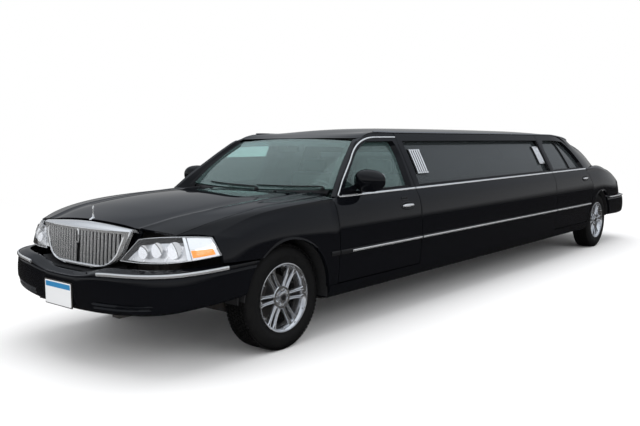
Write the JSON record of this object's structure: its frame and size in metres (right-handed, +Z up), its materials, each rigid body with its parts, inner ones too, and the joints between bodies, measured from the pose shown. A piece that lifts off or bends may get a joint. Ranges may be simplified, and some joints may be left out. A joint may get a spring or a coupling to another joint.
{
  "type": "stretch limousine",
  "caption": "Long black stretch limousine with opening doors, hood and trunk lid, rolling wheels, steered front wheels, chrome trim and a furnished passenger cabin.",
  "frame": {"origin": "on the ground, under the middle of the car's box", "axes": "+X forward along the car, +Y to the car's left, +Z up"},
  "size_m": [8.519, 2.22, 1.5184],
  "materials": {
    "body_paint": "gloss",
    "chrome": "polished",
    "wheel_alloy": "satin",
    "tyre": "matte",
    "tinted_glass": "clear",
    "lamp_lens": "clear",
    "red_lens": "gloss",
    "frame_steel": "satin",
    "engine_iron": "matte",
    "exhaust_steel": "satin",
    "black_plastic": "matte",
    "dark_leather": "satin",
    "dash_plastic": "matte",
    "cabinet_wood": "gloss"
  },
  "bodies": {
    "body": {"chassis_frame": "frame_steel", "floor_pan": "frame_steel", "wheelhouses": "black_plastic", "engine_bay": "frame_steel", "engine": "engine_iron", "propshaft": "frame_steel", "front_suspension": "frame_steel", "rear_axle": "frame_steel", "exhaust": "exhaust_steel", "fuel_tank": "frame_steel", "front_fenders": "body_paint", "front_bumper": "body_paint", "header_panel": "body_paint", "grille": "chrome", "headlamps": "lamp_lens", "windshield": "tinted_glass", "roof_pillars": "body_paint", "roof_panel": "body_paint", "rocker_panels": "body_paint", "side_panels": "body_paint", "side_windows": "tinted_glass", "opera_lamps": "chrome", "quarter_panels": "body_paint", "rear_window": "tinted_glass", "rear_bumper": "body_paint", "tail_lamps": "red_lens", "dashboard": "dash_plastic", "steering_wheel": "dash_plastic", "front_seats": "dark_leather", "partition": "dash_plastic", "bar_cabinet": "cabinet_wood", "rear_seats": "dark_leather", "plate_brackets": "black_plastic"},
    "hood": {"hood": "body_paint"},
    "trunk_lid": {"trunk_lid": "body_paint"},
    "front_door_left": {"front_door_left": "body_paint", "front_glass_left": "tinted_glass"},
    "front_door_right": {"front_door_right": "body_paint", "front_glass_right": "tinted_glass"},
    "rear_door_left": {"rear_door_left": "body_paint", "rear_glass_left": "tinted_glass"},
    "rear_door_right": {"rear_door_right": "body_paint", "rear_glass_right": "tinted_glass"},
    "knuckle_left": {"knuckle_left": "frame_steel"},
    "knuckle_right": {"knuckle_right": "frame_steel"},
    "wheel_front_left": {"tyre_front_left": "tyre", "rim_front_left": "wheel_alloy"},
    "wheel_front_right": {"tyre_front_right": "tyre", "rim_front_right": "wheel_alloy"},
    "wheel_rear_left": {"tyre_rear_left": "tyre", "rim_rear_left": "wheel_alloy"},
    "wheel_rear_right": {"tyre_rear_right": "tyre", "rim_rear_right": "wheel_alloy"}
  },
  "joints": [
    {"name": "hood_hinge", "type": "hinge", "parent": "body", "child": "hood", "pos_m": [2.5095, 0, 1.025], "axis": [0, -1, 0], "range_deg": [0, 50]},
    {"name": "trunk_hinge", "type": "hinge", "parent": "body", "child": "trunk_lid", "pos_m": [-3.3835, 0, 1.078], "axis": [0, 1, 0], "range_deg": [0, 75]},
    {"name": "front_door_left_hinge", "type": "hinge", "parent": "body", "child": "front_door_left", "pos_m": [2.6595, 1, 0.7], "axis": [0, 0, -1], "range_deg": [0, 65]},
    {"name": "rear_door_left_hinge", "type": "hinge", "parent": "body", "child": "rear_door_left", "pos_m": [-1.3295, 1, 0.7], "axis": [0, 0, -1], "range_deg": [0, 65]},
    {"name": "front_door_right_hinge", "type": "hinge", "parent": "body", "child": "front_door_right", "pos_m": [2.6595, -1, 0.7], "axis": [0, 0, 1], "range_deg": [0, 65]},
    {"name": "rear_door_right_hinge", "type": "hinge", "parent": "body", "child": "rear_door_right", "pos_m": [-1.3295, -1, 0.7], "axis": [0, 0, 1], "range_deg": [0, 65]},
    {"name": "steer_left", "type": "hinge", "parent": "body", "child": "knuckle_left", "pos_m": [3.1595, 0.735, 0.355], "axis": [0, 0, 1], "range_deg": [-30, 30]},
    {"name": "steer_right", "type": "hinge", "parent": "body", "child": "knuckle_right", "pos_m": [3.1595, -0.735, 0.355], "axis": [0, 0, 1], "range_deg": [-30, 30]},
    {"name": "roll_front_left", "type": "hinge", "parent": "knuckle_left", "child": "wheel_front_left", "pos_m": [3.1595, 0.805, 0.355], "axis": [0, 1, 0], "continuous": true},
    {"name": "roll_front_right", "type": "hinge", "parent": "knuckle_right", "child": "wheel_front_right", "pos_m": [3.1595, -0.805, 0.355], "axis": [0, 1, 0], "continuous": true},
    {"name": "roll_rear_left", "type": "hinge", "parent": "body", "child": "wheel_rear_left", "pos_m": [-2.8785, 0.82, 0.355], "axis": [0, 1, 0], "continuous": true},
    {"name": "roll_rear_right", "type": "hinge", "parent": "body", "child": "wheel_rear_right", "pos_m": [-2.8785, -0.82, 0.355], "axis": [0, 1, 0], "continuous": true}
  ],
  "couplings": [
    {"joint": "steer_right", "follows": "steer_left", "ratio": 1}
  ]
}
